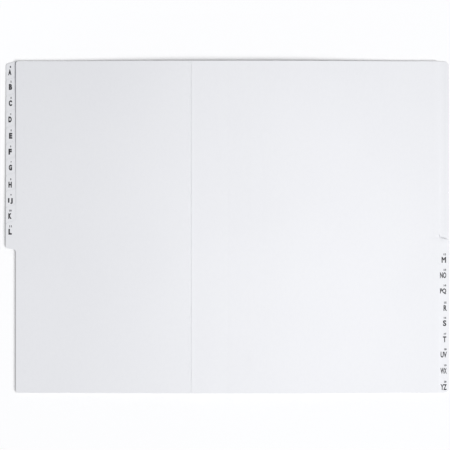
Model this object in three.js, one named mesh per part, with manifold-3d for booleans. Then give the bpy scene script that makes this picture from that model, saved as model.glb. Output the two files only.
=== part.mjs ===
// Alphabetical desk sorter, lying open in the middle: twenty white card leaves with stepped index
// tabs between two board covers. Millimetres, +Z up, X to the right of the open spread, Y towards
// its top edge. The origin lies on the table, under the fold between the two halves.
//
// Every leaf is one piece of card: a page, an index tab on its fore edge, and a flap folded back
// at the spine. The flap is glued to the back of the leaf in front, so the leaves hang together
// as a chain. Leaf M is the one that the sorter lies open at: its flap lies flat on leaf L.

import * as THREE from 'three';
import { mergeVertices } from 'three/addons/utils/BufferGeometryUtils.js';
import Module from 'manifold-3d';

const wasm = await Module();
wasm.setup();

// Card and boards
const CARD_THICKNESS = 0.3;
const COVER_THICKNESS = 1.5;
const CLOTH_THICKNESS = 0.5;

// Page outline
const PAGE_WIDTH = 226.5;
const PAGE_HEIGHT = 355;
const FLAP_WIDTH = 38.5;
const PAGE_CORNER_RADIUS = 3;
const FLAP_CORNER_CUT = 3;

// Index tabs
const TAB_DEPTH = 10.8;
const TAB_ROOT_HEIGHT = 31.4;
const TAB_TOP_SLOPE = 3;
const TAB_FOOT_SLOPE = 1.6;
const TAB_CORNER_RADIUS = 2.5;
const TAB_ROOT_RADIUS = 3.5;

// Covers and spine cloth
const BACK_COVER_CORNER_RADIUS = 5.5;
const COVER_SPINE_SETBACK = 1.2;
const CLOTH_FOOT_INSET = 14.5;
const CLOTH_END_INSET = 2;

// Clearances between layers that lie on one another
const GLUE_LINE = 0.05;
const FOLD_SLIT = 0.1;
const FORE_EDGE_GAP = 0.05;
const CLOTH_HALF_GAP = 0.1;

// How the pages come down from the folds to the fore edge
const SAG_START = 3;
const FLAT_FORE_EDGE = 16;
const SAG_STEPS = 14;
const ARC_STEPS = 5;

const FRONT_HALF = ['A', 'B', 'C', 'D', 'E', 'F', 'G', 'H', 'IJ', 'K', 'L'];
const BACK_HALF = ['M', 'NO', 'PQ', 'R', 'S', 'T', 'UV', 'WX', 'YZ'];
const LETTERS = [...FRONT_HALF, ...BACK_HALF];
const TAB_PITCH = (PAGE_HEIGHT - TAB_ROOT_HEIGHT) / (LETTERS.length - 1);

const LEFT = -1;
const RIGHT = 1;

// Heights at the spine. The left half has more layers, so the folds on the right stand further
// open, and both halves reach leaf M at one height.
const STACK_BASE = COVER_THICKNESS + CLOTH_THICKNESS + 2 * GLUE_LINE;
const LEFT_PITCH = 2 * CARD_THICKNESS + FOLD_SLIT + GLUE_LINE;
const RIGHT_FOLDED = BACK_HALF.length - 1;
const RIGHT_PITCH = (FRONT_HALF.length * LEFT_PITCH) / RIGHT_FOLDED;
const RIGHT_SLIT = RIGHT_PITCH - 2 * CARD_THICKNESS - GLUE_LINE;
const OPEN_LEAF_BOTTOM = STACK_BASE + FRONT_HALF.length * LEFT_PITCH;
const FORE_EDGE_PITCH = CARD_THICKNESS + FORE_EDGE_GAP;
const FOLD_START = CLOTH_HALF_GAP + CLOTH_THICKNESS + GLUE_LINE;

const matt = (color, roughness) => new THREE.MeshStandardMaterial({ color, roughness, metalness: 0 });
const cardMaterial = () => matt(0xeeeff3, 0.72);
const boardMaterial = () => matt(0xedeef2, 0.8);
const clothMaterial = () => matt(0xd9dbe0, 0.95);

// Height of a page's underside at a distance from the spine: level over the flaps, an S-shaped
// slope across the page, and level again where the tabs lie on one another.
function pageBottom(distance, atSpine, atForeEdge) {
  const sagFrom = FLAP_WIDTH + SAG_START;
  const sagTo = PAGE_WIDTH - FLAT_FORE_EDGE;
  const way = THREE.MathUtils.smoothstep(distance, sagFrom, sagTo);
  return THREE.MathUtils.lerp(atSpine, atForeEdge, way);
}

// Distances from the spine at which the sloping part of a page gets a point.
function sagDistances() {
  const sagFrom = FLAP_WIDTH + SAG_START;
  const sagTo = PAGE_WIDTH - FLAT_FORE_EDGE;
  const distances = [];
  for (let step = 0; step <= SAG_STEPS; step += 1) {
    distances.push(sagFrom + ((sagTo - sagFrom) * step) / SAG_STEPS);
  }
  return distances;
}

// Section points along a page from its fore edge back towards the spine and out again: the
// underside is walked inwards, then the top is walked outwards.
function pageSides(atSpine, atForeEdge) {
  const foreEdge = PAGE_WIDTH + TAB_DEPTH + 1;
  const outwards = [...sagDistances(), foreEdge];
  const under = outwards.map((u) => [u, pageBottom(u, atSpine, atForeEdge)]);
  const over = under.map(([u, z]) => [u, z + CARD_THICKNESS]);
  return { inwards: under.reverse(), outwards: over };
}

// Half-round outside of a fold, from its lower layer to its upper one.
function foldArc(bottom, slit) {
  const radius = CARD_THICKNESS + slit / 2;
  const points = [];
  for (let step = 0; step <= ARC_STEPS; step += 1) {
    const angle = -Math.PI / 2 + (Math.PI * step) / ARC_STEPS;
    const inset = radius - radius * Math.cos(angle);
    points.push([FOLD_START + inset, bottom + radius + radius * Math.sin(angle)]);
  }
  return points;
}

// Section of a leaf on the left, its back up: the flap lies under the page.
function leftLeafSection(flapBottom, atForeEdge) {
  const slitStart = FOLD_START + CARD_THICKNESS;
  const flapTop = flapBottom + CARD_THICKNESS;
  const page = pageSides(flapTop + FOLD_SLIT, atForeEdge);
  return [
    ...page.inwards,
    [slitStart, flapTop + FOLD_SLIT],
    [slitStart, flapTop],
    [FLAP_WIDTH, flapTop],
    [FLAP_WIDTH, flapBottom],
    ...foldArc(flapBottom, FOLD_SLIT),
    ...page.outwards,
  ];
}

// Section of a leaf on the right, its front up: the flap lies on the page.
function rightLeafSection(pageLow, atForeEdge) {
  const slitStart = FOLD_START + CARD_THICKNESS;
  const page = pageSides(pageLow, atForeEdge);
  const flapBottom = pageLow + CARD_THICKNESS + RIGHT_SLIT;
  return [
    ...page.inwards,
    ...foldArc(pageLow, RIGHT_SLIT),
    [FLAP_WIDTH, flapBottom + CARD_THICKNESS],
    [FLAP_WIDTH, flapBottom],
    [slitStart, flapBottom],
    [slitStart, pageLow + CARD_THICKNESS],
    ...page.outwards,
  ];
}

// Section of leaf M, which lies open across the spine with its flap on the left half.
function openLeafSection(bottom, atForeEdge) {
  const page = pageSides(bottom, atForeEdge);
  return [
    ...page.inwards,
    [-FLAP_WIDTH, bottom],
    [-FLAP_WIDTH, bottom + CARD_THICKNESS],
    ...page.outwards,
  ];
}

// Closed outline from corner points, each with its own rounding radius.
function roundedOutline(corners) {
  const shape = new THREE.Shape();
  const last = corners.length - 1;
  corners.forEach(([x, y, radius], index) => {
    const corner = new THREE.Vector2(x, y);
    const before = new THREE.Vector2(...corners[index === 0 ? last : index - 1]);
    const after = new THREE.Vector2(...corners[index === last ? 0 : index + 1]);
    const start = before.sub(corner).setLength(radius).add(corner);
    const end = after.sub(corner).setLength(radius).add(corner);
    if (index === 0) shape.moveTo(start.x, start.y);
    else shape.lineTo(start.x, start.y);
    if (radius > 0) shape.quadraticCurveTo(x, y, end.x, end.y);
  });
  shape.closePath();
  return shape;
}

// Plan of a leaf with its tab at a place counted from the top, and its spine edge at a distance
// from the spine. Side mirrors it to the left or the right half.
function leafOutline(place, side, spineEdge) {
  const top = PAGE_HEIGHT / 2;
  const tabTop = top - place * TAB_PITCH;
  const tabBottom = tabTop - TAB_ROOT_HEIGHT;
  const tabEdge = PAGE_WIDTH + TAB_DEPTH;
  const first = place === 0;
  const last = place === LETTERS.length - 1;
  const spineCut = spineEdge < 0 ? FLAP_CORNER_CUT : 0;
  const corners = [
    [spineEdge, -top, spineCut],
    ...(last ? [] : [[PAGE_WIDTH, -top, PAGE_CORNER_RADIUS]]),
    [PAGE_WIDTH, tabBottom, last ? 0 : TAB_ROOT_RADIUS],
    [tabEdge, tabBottom + TAB_FOOT_SLOPE, TAB_CORNER_RADIUS],
    [tabEdge, tabTop - TAB_TOP_SLOPE, TAB_CORNER_RADIUS],
    [PAGE_WIDTH, tabTop, first ? 0 : TAB_ROOT_RADIUS],
    ...(first ? [] : [[PAGE_WIDTH, top, PAGE_CORNER_RADIUS]]),
    [spineEdge, top, spineCut],
  ];
  return roundedOutline(corners.map(([u, y, radius]) => [side * u, y, radius]));
}

// Plan of a cover with rounded fore-edge corners.
function coverOutline(width, side, radius) {
  const top = PAGE_HEIGHT / 2;
  const corners = [
    [COVER_SPINE_SETBACK, -top, 0],
    [width, -top, radius],
    [width, top, radius],
    [COVER_SPINE_SETBACK, top, 0],
  ];
  return roundedOutline(corners.map(([u, y, corner]) => [side * u, y, corner]));
}

// Prism of a section in the XZ plane, running along Y and centred on it.
function alongPage(section, length) {
  const shape = new THREE.Shape(section.map(([x, z]) => new THREE.Vector2(x, z)));
  const geometry = new THREE.ExtrudeGeometry(shape, { depth: length, bevelEnabled: false });
  geometry.rotateX(Math.PI / 2);
  geometry.translate(0, length / 2, 0);
  return geometry;
}

// Prism of a plan outline, standing on a height.
function upright(outline, bottom, height) {
  const options = { depth: height, bevelEnabled: false, curveSegments: ARC_STEPS };
  const geometry = new THREE.ExtrudeGeometry(outline, options);
  geometry.translate(0, 0, bottom);
  return geometry;
}

function toSolid(geometry) {
  const bare = geometry.clone();
  bare.deleteAttribute('normal');
  bare.deleteAttribute('uv');
  const merged = mergeVertices(bare, 1e-5);
  const vertProperties = new Float32Array(merged.attributes.position.array);
  const triVerts = new Uint32Array(merged.index.array);
  return new wasm.Manifold(new wasm.Mesh({ numProp: 3, vertProperties, triVerts }));
}

function toGeometry(solid) {
  const { vertProperties, triVerts } = solid.getMesh();
  const geometry = new THREE.BufferGeometry();
  geometry.setAttribute('position', new THREE.BufferAttribute(vertProperties, 3));
  geometry.setIndex(new THREE.BufferAttribute(triVerts, 1));
  geometry.computeVertexNormals();
  return geometry;
}

// A leaf is its section carried along the page and trimmed to its plan.
function leafGeometry(section, outline) {
  const tall = OPEN_LEAF_BOTTOM + 2 * CARD_THICKNESS;
  const sheet = toSolid(alongPage(section, PAGE_HEIGHT + 2));
  const trim = toSolid(upright(outline, 0, tall));
  return toGeometry(sheet.intersect(trim));
}

const mirrored = (section, side) => section.map(([u, z]) => [side * u, z]);

function namedMesh(name, geometry, material) {
  const mesh = new THREE.Mesh(geometry, material);
  mesh.name = name;
  return mesh;
}

// Leaves A to L, stacked on the front cover with their backs up.
function addLeftLeaves(group) {
  FRONT_HALF.forEach((letters, level) => {
    const flapBottom = STACK_BASE + level * LEFT_PITCH;
    const atForeEdge = COVER_THICKNESS + FORE_EDGE_GAP + level * FORE_EDGE_PITCH;
    const section = mirrored(leftLeafSection(flapBottom, atForeEdge), LEFT);
    const outline = leafOutline(level, LEFT, 0);
    group.add(namedMesh(`leaf_${letters}`, leafGeometry(section, outline), cardMaterial()));
  });
}

// Leaves M to YZ, fronts up, with YZ lowest on the back cover and M on top.
function addRightLeaves(group) {
  BACK_HALF.forEach((letters, index) => {
    const level = RIGHT_FOLDED - index;
    const place = FRONT_HALF.length + index;
    const open = index === 0;
    const bottom = open ? OPEN_LEAF_BOTTOM : STACK_BASE + level * RIGHT_PITCH;
    const atForeEdge = COVER_THICKNESS + FORE_EDGE_GAP + level * FORE_EDGE_PITCH;
    const section = open ? openLeafSection(bottom, atForeEdge) : rightLeafSection(bottom, atForeEdge);
    const outline = leafOutline(place, RIGHT, open ? -FLAP_WIDTH : 0);
    group.add(namedMesh(`leaf_${letters}`, leafGeometry(section, outline), cardMaterial()));
  });
}

function addCovers(group) {
  const front = coverOutline(PAGE_WIDTH, LEFT, PAGE_CORNER_RADIUS);
  const back = coverOutline(PAGE_WIDTH + TAB_DEPTH, RIGHT, BACK_COVER_CORNER_RADIUS);
  group.add(namedMesh('front_cover', upright(front, 0, COVER_THICKNESS), boardMaterial()));
  group.add(namedMesh('back_cover', upright(back, 0, COVER_THICKNESS), boardMaterial()));
}

// Spine cloth: glued to the insides of both covers, where it ends short of the flaps, and to the
// folds. With the sorter open it is doubled, and its fold lies under leaf M.
function addSpineCloth(group) {
  const footBottom = COVER_THICKNESS + GLUE_LINE;
  const footTop = footBottom + CLOTH_THICKNESS;
  const footEdge = FLAP_WIDTH - CLOTH_FOOT_INSET;
  const foldTop = OPEN_LEAF_BOTTOM - GLUE_LINE;
  const inside = CLOTH_HALF_GAP;
  const outside = inside + CLOTH_THICKNESS;
  const rightHalf = [
    [inside, footBottom],
    [footEdge, footBottom],
    [footEdge, footTop],
    [outside, footTop],
    [outside, foldTop - CLOTH_THICKNESS / 2],
    [inside, foldTop],
  ];
  const leftHalf = mirrored(rightHalf, LEFT).reverse();
  const underFold = foldTop - CLOTH_THICKNESS;
  const section = [...rightHalf, ...leftHalf, [-inside, underFold], [inside, underFold]];
  const cloth = alongPage(section, PAGE_HEIGHT - 2 * CLOTH_END_INSET);
  group.add(namedMesh('spine_cloth', cloth, clothMaterial()));
}

const group = new THREE.Group();
addCovers(group);
addSpineCloth(group);
addLeftLeaves(group);
addRightLeaves(group);

export default group;
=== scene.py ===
import bpy
import math
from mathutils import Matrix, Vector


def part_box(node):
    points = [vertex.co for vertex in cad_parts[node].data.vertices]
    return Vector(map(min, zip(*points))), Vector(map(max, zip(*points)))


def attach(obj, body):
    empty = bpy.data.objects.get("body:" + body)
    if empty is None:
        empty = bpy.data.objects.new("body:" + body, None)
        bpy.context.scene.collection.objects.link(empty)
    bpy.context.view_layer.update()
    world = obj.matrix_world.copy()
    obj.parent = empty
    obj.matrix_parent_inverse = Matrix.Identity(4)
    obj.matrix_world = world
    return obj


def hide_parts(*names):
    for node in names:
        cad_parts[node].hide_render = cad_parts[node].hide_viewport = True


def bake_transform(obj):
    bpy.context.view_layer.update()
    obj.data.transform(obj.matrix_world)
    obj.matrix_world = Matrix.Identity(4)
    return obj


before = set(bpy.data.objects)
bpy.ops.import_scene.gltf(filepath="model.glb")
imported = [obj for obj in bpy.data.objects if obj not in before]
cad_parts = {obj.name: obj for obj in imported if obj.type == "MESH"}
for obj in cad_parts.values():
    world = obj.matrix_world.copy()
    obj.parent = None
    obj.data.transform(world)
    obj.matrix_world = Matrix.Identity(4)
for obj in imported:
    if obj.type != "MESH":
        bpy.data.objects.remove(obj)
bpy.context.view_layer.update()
bpy.ops.object.select_all(action="DESELECT")


# Covers. Two plain boards lined with white paper, one under each half. The front one ends
# flush with the pages, and the back one is wider, so that it also carries the tabs.
# Both are glued to the ends of the spine cloth.
FACE_UPRIGHT = 0.75
EDGE_UPRIGHT = 0.35
LINING_SPECK = 0.25


def plain_material(name, colour, roughness):
    """A new material with its shader, and the object coordinates that its patterns read."""
    material = bpy.data.materials.new(name)
    material.use_nodes = True
    tree = material.node_tree
    shader = tree.nodes["Principled BSDF"]
    shader.inputs["Base Color"].default_value = (*colour, 1)
    shader.inputs["Roughness"].default_value = roughness
    place = tree.nodes.new("ShaderNodeTexCoord").outputs["Object"]
    return material, tree, shader, place


def noise(tree, place, scale, detail, stretch=(1, 1, 1)):
    """A noise pattern on the object, with features of about 1/scale metres."""
    mapping = tree.nodes.new("ShaderNodeMapping")
    mapping.inputs["Scale"].default_value = stretch
    tree.links.new(place, mapping.inputs["Vector"])
    texture = tree.nodes.new("ShaderNodeTexNoise")
    texture.inputs["Scale"].default_value = scale
    texture.inputs["Detail"].default_value = detail
    tree.links.new(mapping.outputs["Vector"], texture.inputs["Vector"])
    return texture.outputs["Fac"]


def ramp(tree, value, low, high, start=0.35, end=0.65):
    """A colour between low and high, as the value goes from start to end."""
    node = tree.nodes.new("ShaderNodeValToRGB")
    node.color_ramp.elements[0].position = start
    node.color_ramp.elements[0].color = (*low, 1)
    node.color_ramp.elements[1].position = end
    node.color_ramp.elements[1].color = (*high, 1)
    tree.links.new(value, node.inputs["Fac"])
    return node.outputs["Color"]


def mixed(tree, factor, first, second):
    """Two colour patterns mixed by a factor, which is a number or a pattern."""
    node = tree.nodes.new("ShaderNodeMix")
    node.data_type = "RGBA"
    if isinstance(factor, float):
        node.inputs["Factor"].default_value = factor
    else:
        tree.links.new(factor, node.inputs["Factor"])
    for socket, colour in (("A", first), ("B", second)):
        target = next(i for i in node.inputs if i.name == socket and i.type == "RGBA")
        tree.links.new(colour, target)
    return next(o for o in node.outputs if o.type == "RGBA")


def bumped(tree, shader, heights):
    """Bump from several (pattern, depth in metres) pairs, one after another."""
    normal = None
    for height, depth in heights:
        node = tree.nodes.new("ShaderNodeBump")
        node.inputs["Distance"].default_value = depth
        tree.links.new(height, node.inputs["Height"])
        if normal is not None:
            tree.links.new(normal, node.inputs["Normal"])
        normal = node.outputs["Normal"]
    tree.links.new(normal, shader.inputs["Normal"])


def cut_edge(tree):
    """1 on the thin cut edges of a sheet and 0 on its faces, from the way the surface turns."""
    turned = tree.nodes.new("ShaderNodeTexCoord").outputs["Normal"]
    parts = tree.nodes.new("ShaderNodeSeparateXYZ")
    tree.links.new(turned, parts.inputs["Vector"])
    upright = tree.nodes.new("ShaderNodeMath")
    upright.operation = "ABSOLUTE"
    tree.links.new(parts.outputs["Z"], upright.inputs[0])
    step = tree.nodes.new("ShaderNodeMapRange")
    step.inputs["From Min"].default_value = FACE_UPRIGHT
    step.inputs["From Max"].default_value = EDGE_UPRIGHT
    tree.links.new(upright.outputs["Value"], step.inputs["Value"])
    return step.outputs["Result"]


def board_material():
    """White lining paper on the faces, and the grey board inside it on the cut edges."""
    material, tree, shader, place = plain_material(
        "lined_board", colour=(0.85, 0.854, 0.874), roughness=0.62
    )
    cloudy = noise(tree, place, scale=14, detail=2)
    fibres = noise(tree, place, scale=900, detail=4, stretch=(1, 0.35, 1))
    grain = noise(tree, place, scale=1500, detail=3, stretch=(1, 1, 4))
    face = ramp(tree, cloudy, (0.842, 0.846, 0.866), (0.858, 0.862, 0.882))
    speck = ramp(tree, fibres, (0.822, 0.826, 0.846), (0.866, 0.87, 0.888))
    lining = mixed(tree, LINING_SPECK, face, speck)
    core = ramp(tree, grain, (0.5, 0.49, 0.46), (0.68, 0.67, 0.64))
    colour = mixed(tree, cut_edge(tree), lining, core)
    tree.links.new(colour, shader.inputs["Base Color"])
    bumped(tree, shader, [(cloudy, 0.0001), (fibres, 0.00002)])
    return material


board = board_material()
for name in ("back_cover", "front_cover"):
    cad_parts[name].data.materials.clear()
    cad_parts[name].data.materials.append(board)


# Spine cloth. One strip of pale bookcloth, glued to the insides of both covers and to the folds of all
# the leaves.
# This piece keeps the shape the cloth has with the sorter open, doubled under the spread. On the real
# sorter it opens out flat over the folds when the sorter is shut.
MERGE_DISTANCE = 1e-6
FLAT_ANGLE = 0.05
CLOTH_CUT = 0.012
THREAD_SCALE = 480
THREAD_WANDER = 0.6
THREAD_BUMP = 0.00006
THREAD_EDGES = (0.1, 0.9)


def copy_of(node, name):
    """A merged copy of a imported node's mesh, as the start of a finer piece."""
    piece = bpy.data.objects.new(name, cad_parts[node].data.copy())
    bpy.context.scene.collection.objects.link(piece)
    bpy.ops.object.select_all(action="DESELECT")
    bpy.context.view_layer.objects.active = piece
    piece.select_set(True)
    bpy.ops.object.mode_set(mode="EDIT")
    bpy.ops.mesh.select_all(action="SELECT")
    bpy.ops.mesh.customdata_custom_splitnormals_clear()
    bpy.ops.mesh.remove_doubles(threshold=MERGE_DISTANCE)
    bpy.ops.mesh.dissolve_limited(angle_limit=math.radians(FLAT_ANGLE))
    bpy.ops.object.mode_set(mode="OBJECT")
    return piece


def cut_across(piece, distances, direction=(1, 0, 0)):
    """New edges right across a piece at distances from its middle, to bend and shape it by."""
    bpy.ops.object.mode_set(mode="EDIT")
    for distance in distances:
        place = [distance * part for part in direction]
        bpy.ops.mesh.select_all(action="SELECT")
        bpy.ops.mesh.bisect(plane_co=place, plane_no=direction)
    bpy.ops.object.mode_set(mode="OBJECT")


def cloth_material():
    """A fine weave of threads that run along the spine and across it, up the doubled part too."""
    material, tree, shader, place = plain_material(
        "bookcloth", colour=(0.7, 0.71, 0.74), roughness=0.95
    )
    parts = tree.nodes.new("ShaderNodeSeparateXYZ")
    tree.links.new(place, parts.inputs["Vector"])
    across = tree.nodes.new("ShaderNodeMath")
    across.operation = "ADD"
    tree.links.new(parts.outputs["X"], across.inputs[0])
    tree.links.new(parts.outputs["Z"], across.inputs[1])
    joined = tree.nodes.new("ShaderNodeCombineXYZ")
    tree.links.new(across.outputs["Value"], joined.inputs["X"])
    tree.links.new(parts.outputs["Y"], joined.inputs["Y"])
    threads = []
    for direction in ("X", "Y"):
        wave = tree.nodes.new("ShaderNodeTexWave")
        wave.bands_direction = direction
        wave.inputs["Scale"].default_value = THREAD_SCALE
        wave.inputs["Distortion"].default_value = THREAD_WANDER
        tree.links.new(joined.outputs["Vector"], wave.inputs["Vector"])
        threads.append(wave.outputs["Fac"])
    first = ramp(tree, threads[0], (0.6, 0.61, 0.64), (0.74, 0.75, 0.78), *THREAD_EDGES)
    second = ramp(tree, threads[1], (0.62, 0.63, 0.66), (0.76, 0.77, 0.8), *THREAD_EDGES)
    tree.links.new(mixed(tree, 0.5, first, second), shader.inputs["Base Color"])
    bumped(tree, shader, [(thread, THREAD_BUMP) for thread in threads])
    return material


spine_cloth = copy_of("spine_cloth", "spine_bookcloth")
cut_across(spine_cloth, (0, CLOTH_CUT, -CLOTH_CUT))
spine_cloth.data.materials.clear()
spine_cloth.data.materials.append(cloth_material())
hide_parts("spine_cloth")
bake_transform(spine_cloth)


# Leaves. Twenty pieces of smooth white card, each die-cut with its tab and folded back at the
# spine into a flap, which is glued to the back of the leaf in front of it.
# Their cut edges are a little greyer than their faces.
FRONT_LEAVES = ["A", "B", "C", "D", "E", "F", "G", "H", "IJ", "K", "L"]
BACK_LEAVES = ["M", "NO", "PQ", "R", "S", "T", "UV", "WX", "YZ"]
CARD_MOTTLE = 0.3


def card_material():
    """Smooth card, faintly cloudy and mottled, with short fibres along the page."""
    material, tree, shader, place = plain_material(
        "white_card", colour=(0.865, 0.869, 0.89), roughness=0.6
    )
    cloudy = noise(tree, place, scale=9, detail=2)
    formation = noise(tree, place, scale=420, detail=5, stretch=(1, 0.5, 1))
    fibres = noise(tree, place, scale=2600, detail=3, stretch=(1, 0.3, 1))
    face = ramp(tree, cloudy, (0.856, 0.86, 0.882), (0.872, 0.876, 0.896))
    mottle = ramp(tree, formation, (0.846, 0.85, 0.872), (0.876, 0.88, 0.9))
    colour = mixed(tree, CARD_MOTTLE, face, mottle)
    edge = ramp(tree, fibres, (0.5, 0.505, 0.52), (0.64, 0.645, 0.66))
    tree.links.new(mixed(tree, cut_edge(tree), colour, edge), shader.inputs["Base Color"])
    bumped(tree, shader, [(cloudy, 0.00012), (formation, 0.00001), (fibres, 0.000006)])
    return material


card = card_material()
for letters in FRONT_LEAVES + BACK_LEAVES:
    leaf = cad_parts["leaf_" + letters]
    leaf.data.materials.clear()
    leaf.data.materials.append(card)


# Leaf L. The page that lies open on the left, back up. It is the same card as the others,
# and its curve from the spine down to the tabs is shaded as one smooth surface.
SMOOTH_ANGLE = 20


def smooth_card(piece):
    """Give a finer leaf its card, and shade its curves smoothly but not its cut edges."""
    piece.data.materials.clear()
    piece.data.materials.append(card)
    bpy.ops.object.select_all(action="DESELECT")
    bpy.context.view_layer.objects.active = piece
    piece.select_set(True)
    bpy.ops.object.shade_smooth_by_angle(angle=math.radians(SMOOTH_ANGLE))


left_page = copy_of("leaf_L", "leaf_L_page")
smooth_card(left_page)
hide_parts("leaf_L")
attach(left_page, "front_half")


# Leaf M. The page that lies open on the right, front up. Its flap is glued flat to the back of
# leaf L on the other side of the spine, with its free edge a hair proud. Its scored fold line is
# a shallow valley, and the upper corner of its tab is worn and bent up a little by use.
FOLD_HALF_WIDTH = 0.0016
FOLD_DEPTH = 0.00003
FLAP_CURL = 0.0002
CURL_WIDTH = 0.006
TAB_DEPTH = 0.0108
TAB_ROOT_HEIGHT = 0.0314
CORNER_LIFT = 0.0032
LIFT_LENGTH = 0.010
CORNER_WEAR = 0.0013
# The lift is full from half the tab's depth outwards, and the wear from a third of it
LIFT_GROWTH = 2
WEAR_GROWTH = 3

page_low, page_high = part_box("leaf_B")
page_top = page_high[1]
leaf_count = len(FRONT_LEAVES) + len(BACK_LEAVES)
tab_pitch = (page_high[1] - page_low[1] - TAB_ROOT_HEIGHT) / (leaf_count - 1)

open_low, open_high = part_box("leaf_M")
flap_edge = open_low[0]
open_edge = open_high[0] - TAB_DEPTH
open_tab_top = page_top - len(FRONT_LEAVES) * tab_pitch
open_page = copy_of("leaf_M", "leaf_M_page")
curl_lines = [flap_edge + CURL_WIDTH * part for part in (0.25, 0.5, 0.75, 1)]
fold_lines = [FOLD_HALF_WIDTH * part for part in (-1, -0.5, 0, 0.5, 1)]
tab_columns = [open_edge + TAB_DEPTH * part for part in (0, 0.15, 0.3, 0.45, 0.6, 0.8)]
tab_rows = [open_tab_top - LIFT_LENGTH * part for part in (0, 0.2, 0.4, 0.6, 0.8, 1)]
cut_across(open_page, curl_lines + fold_lines + tab_columns)
cut_across(open_page, tab_rows, (0, 1, 0))


def lift_tab_corner(piece):
    """Bend up what a piece has on the upper corner of leaf M's tab."""
    for vertex in piece.data.vertices:
        out = (vertex.co.x - open_edge) / TAB_DEPTH
        down = max(0, (open_tab_top - vertex.co.y) / LIFT_LENGTH)
        if out > 0 and down < 1:
            vertex.co.z += CORNER_LIFT * min(1, LIFT_GROWTH * out) * (1 - down) ** 2
            vertex.co.y -= CORNER_WEAR * min(1, WEAR_GROWTH * out) * (1 - down)


for vertex in open_page.data.vertices:
    x = vertex.co.x
    if abs(x) < FOLD_HALF_WIDTH:
        vertex.co.z -= FOLD_DEPTH * (1 - abs(x) / FOLD_HALF_WIDTH)
    if x < flap_edge + CURL_WIDTH:
        vertex.co.z += FLAP_CURL * (1 - (x - flap_edge) / CURL_WIDTH) ** 2
lift_tab_corner(open_page)
smooth_card(open_page)
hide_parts("leaf_M")
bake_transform(open_page)


# Tab printing. Each tab has its letters and a small running number above them, printed in dark
# grey on both faces: on the part of the tab that shows from the front, low down, and on the
# part that shows from the back, high up.
CARD_THICKNESS = 0.0003
PRINT_HEIGHT = 0.00001
CAPITAL_SHARE = 0.73
CURVE_STEPS = 4
LETTER_HEIGHT = 0.0063
LETTER_WIDTH = 0.0036
LETTER_PAIR_WIDTH = 0.0067
BACK_BOLDNESS = 0.00062
FRONT_BOLDNESS = 0.00034
NUMBER_HEIGHT = 0.0022
DIGIT_WIDTH = 0.0013
NUMBER_BOLDNESS = 0.0002
NUMBER_RISE = 0.0060
LABEL_WIDTHS = {"IJ": 0.0051, "M": 0.0048}
BACK_LABEL_DROP = 0.0120
FRONT_LABEL_DROP = 0.0254
BACK_LABEL_MIDDLE = 0.0060
FRONT_LABEL_EDGE = 0.0078
BACK_NUMBER_MIDDLE = 0.0053
FRONT_NUMBER_MIDDLE = 0.0062
# How far some labels are printed off the usual place: away from the page, and up the tab
LABEL_SHIFTS = {
    "A": (0.0009, 0),
    "B": (0.0003, 0.0013),
    "C": (0.0002, 0.0009),
    "D": (0.0006, 0.0005),
    "F": (0.0005, 0),
    "H": (0.0003, -0.0013),
    "IJ": (0, -0.001),
    "K": (0.0008, -0.0008),
    "L": (0.0004, -0.0006),
    "M": (-0.0004, -0.0002),
    "NO": (-0.0002, 0.0003),
    "PQ": (-0.0002, 0.0006),
    "R": (0.0003, -0.0008),
    "T": (0.0001, -0.0003),
    "UV": (0.0005, 0.0003),
    "WX": (0.0005, 0),
    "YZ": (0.0007, -0.0005),
}


def ink_material(name, dark, light):
    """Matt ink that covers the card a little unevenly."""
    material, tree, shader, place = plain_material(name, colour=dark, roughness=0.6)
    cover = noise(tree, place, scale=1800, detail=3)
    tree.links.new(ramp(tree, cover, dark, light), shader.inputs["Base Color"])
    bumped(tree, shader, [(cover, 0.000004)])
    return material


letter_ink = ink_material("letter_ink", (0.022, 0.022, 0.026), (0.042, 0.042, 0.048))
number_ink = ink_material("number_ink", (0.1, 0.1, 0.11), (0.15, 0.15, 0.16))


def printed(words, height, width, boldness, ink, face):
    """Printed words with a cap height, squeezed to a width, about the origin, facing up or down."""
    bpy.ops.object.text_add()
    text = bpy.context.active_object
    text.data.body = words
    text.data.size = height / CAPITAL_SHARE
    text.data.align_x = "CENTER"
    text.data.align_y = "CENTER"
    text.data.bevel_depth = boldness
    text.data.bevel_resolution = 0
    text.data.extrude = PRINT_HEIGHT / 2
    text.data.resolution_u = CURVE_STEPS
    text.data.materials.append(ink)
    bpy.ops.object.convert(target="MESH")
    bpy.context.view_layer.update()
    wide, high, thick = text.dimensions
    text.scale = (width / wide, height / high, PRINT_HEIGHT / thick)
    text.rotation_euler = (0, 0 if face > 0 else math.pi, 0)
    bpy.ops.object.transform_apply(location=True, rotation=True, scale=True)
    return text


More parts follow.
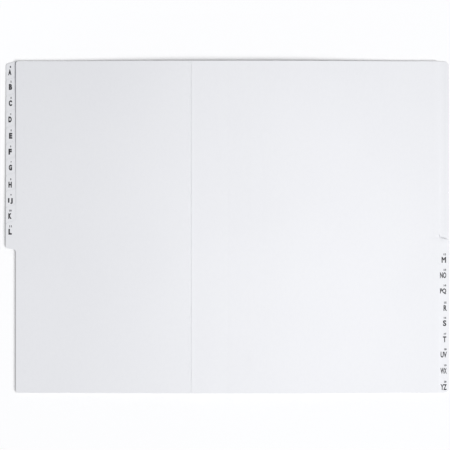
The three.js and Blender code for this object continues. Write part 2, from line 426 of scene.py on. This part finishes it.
def label(letters, number, side, tab_top, tab_low, page_edge):
    """The printing on both faces of one tab, as one piece."""
    marks = []
    usual_width = LETTER_PAIR_WIDTH if len(letters) > 1 else LETTER_WIDTH
    width = LABEL_WIDTHS.get(letters, usual_width)
    words = "I J" if letters == "IJ" else letters
    digits = str(number)
    digits_width = DIGIT_WIDTH * len(digits)
    shift_out, shift_up = LABEL_SHIFTS.get(letters, (0, 0))
    label_edge = page_edge + shift_out
    for face in (1, -1):
        shows_front = face == side
        drop = FRONT_LABEL_DROP if shows_front else BACK_LABEL_DROP
        middle = FRONT_LABEL_EDGE - width / 2 if shows_front else BACK_LABEL_MIDDLE
        number_middle = FRONT_NUMBER_MIDDLE if shows_front else BACK_NUMBER_MIDDLE
        boldness = FRONT_BOLDNESS if shows_front else BACK_BOLDNESS
        label_height = tab_top - drop + shift_up
        level = tab_low + CARD_THICKNESS if face > 0 else tab_low
        level += face * PRINT_HEIGHT
        word = printed(words, LETTER_HEIGHT, width, boldness, letter_ink, face)
        word.location = (side * (label_edge + middle), label_height, level)
        small = printed(digits, NUMBER_HEIGHT, digits_width, NUMBER_BOLDNESS, number_ink, face)
        small.location = (side * (label_edge + number_middle), label_height + NUMBER_RISE, level)
        marks += [word, small]
    bpy.ops.object.select_all(action="DESELECT")
    for mark in marks:
        mark.select_set(True)
    bpy.context.view_layer.objects.active = marks[0]
    bpy.ops.object.transform_apply(location=True, rotation=True, scale=True)
    bpy.ops.object.join()
    piece = bpy.context.active_object
    piece.name = "label_" + letters
    return piece


for order, letters in enumerate(FRONT_LEAVES + BACK_LEAVES):
    side = -1 if letters in FRONT_LEAVES else 1
    low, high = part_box("leaf_" + letters)
    reach = -low[0] if side < 0 else high[0]
    piece = label(letters, order + 1, side, page_top - order * tab_pitch, low[2], reach - TAB_DEPTH)
    if letters == "M":
        lift_tab_corner(piece)
    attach(piece, "front_half" if side < 0 else "back_half")


# Table. A plain white top that the sorter lies on. It keeps the thin soft shadow that the
# light from the lower right leaves along the sorter's top and left edges, and it is lifted to
# white for the camera, more so where it lies further from the lamps.
TABLE_SIZE = 8
TABLE_CLEARANCE = 0.0002
BRIGHTEST_PLACE = (0.27, -0.16)
LIFT_AT_BRIGHTEST = 0.105
LIFT_WITH_DISTANCE = 0.38


def table_material():
    """Matt white that glows for the camera alone, by the distance from its brightest place, squared."""
    material, tree, shader, place = plain_material(
        "white_table", colour=(0.88, 0.88, 0.88), roughness=0.9
    )
    shader.inputs["Emission Color"].default_value = (1, 1, 1, 1)
    away = tree.nodes.new("ShaderNodeMapping")
    away.inputs["Location"].default_value = (-BRIGHTEST_PLACE[0], -BRIGHTEST_PLACE[1], 0)
    tree.links.new(place, away.inputs["Vector"])
    distance_squared = tree.nodes.new("ShaderNodeVectorMath")
    distance_squared.operation = "DOT_PRODUCT"
    tree.links.new(away.outputs["Vector"], distance_squared.inputs[0])
    tree.links.new(away.outputs["Vector"], distance_squared.inputs[1])
    strength = tree.nodes.new("ShaderNodeMath")
    strength.operation = "MULTIPLY_ADD"
    strength.inputs[1].default_value = LIFT_WITH_DISTANCE
    strength.inputs[2].default_value = LIFT_AT_BRIGHTEST
    tree.links.new(distance_squared.outputs["Value"], strength.inputs[0])
    seen = tree.nodes.new("ShaderNodeLightPath")
    lift = tree.nodes.new("ShaderNodeMath")
    lift.operation = "MULTIPLY"
    tree.links.new(strength.outputs["Value"], lift.inputs[0])
    tree.links.new(seen.outputs["Is Camera Ray"], lift.inputs[1])
    tree.links.new(lift.outputs["Value"], shader.inputs["Emission Strength"])
    return material


bpy.ops.mesh.primitive_plane_add(size=TABLE_SIZE, location=(0, 0, -TABLE_CLEARANCE))
table_top = bpy.context.active_object
table_top.name = "table_top"
table_top.data.materials.append(table_material())


# Studio light. A soft lamp over the lower right of the spread, a second one high up and far off
# to the lower right, whose slanting light draws the shadows out along the top and left edges,
# and an even cool surround, which the camera sees nearly white.
SURROUND = 0.265
SURROUND_COLOUR = (0.93, 0.947, 1.0)

world = bpy.data.worlds.new("studio")
bpy.context.scene.world = world
world.use_nodes = True
tree = world.node_tree
surround = tree.nodes["Background"]
surround.inputs["Color"].default_value = (*SURROUND_COLOUR, 1)
seen = tree.nodes.new("ShaderNodeLightPath")
looked_at = tree.nodes.new("ShaderNodeMath")
looked_at.operation = "MAXIMUM"
tree.links.new(seen.outputs["Is Camera Ray"], looked_at.inputs[0])
looked_at.inputs[1].default_value = SURROUND
tree.links.new(looked_at.outputs["Value"], surround.inputs["Strength"])


def soft_lamp(name, place, size, watts):
    """A square lamp at a place, turned to face the middle of the spread."""
    bpy.ops.object.light_add(type="AREA", location=place)
    lamp = bpy.context.active_object
    lamp.name = name
    lamp.rotation_euler = (-lamp.location).to_track_quat("-Z", "Y").to_euler()
    lamp.data.size = size
    lamp.data.energy = watts


soft_lamp("main_lamp", place=(0.25, -0.12, 1.3), size=0.26, watts=8.92)
soft_lamp("side_lamp", place=(2.3, -1.7, 4.0), size=1.1, watts=65)


# Camera. Straight above the spread with a long lens, so that the sheets stay square. Its place
# and lens follow from where the photograph shows the fold and the middle of the pages.
CAMERA_HEIGHT = 2.0
SENSOR_WIDTH = 36
PHOTO_PIXELS = 450
FOLD_COLUMN = 227.55
MIDDLE_ROW = 226.97
METRES_PER_PIXEL = 0.001073

camera_data = bpy.data.cameras.new("camera")
camera = bpy.data.objects.new("camera", camera_data)
bpy.context.scene.collection.objects.link(camera)
camera_data.sensor_width = SENSOR_WIDTH
camera_data.lens = SENSOR_WIDTH * CAMERA_HEIGHT / (PHOTO_PIXELS * METRES_PER_PIXEL)
camera.location = (
    (PHOTO_PIXELS / 2 - FOLD_COLUMN) * METRES_PER_PIXEL,
    (MIDDLE_ROW - PHOTO_PIXELS / 2) * METRES_PER_PIXEL,
    CAMERA_HEIGHT,
)
bpy.context.scene.camera = camera
bpy.context.scene.view_settings.view_transform = "Standard"
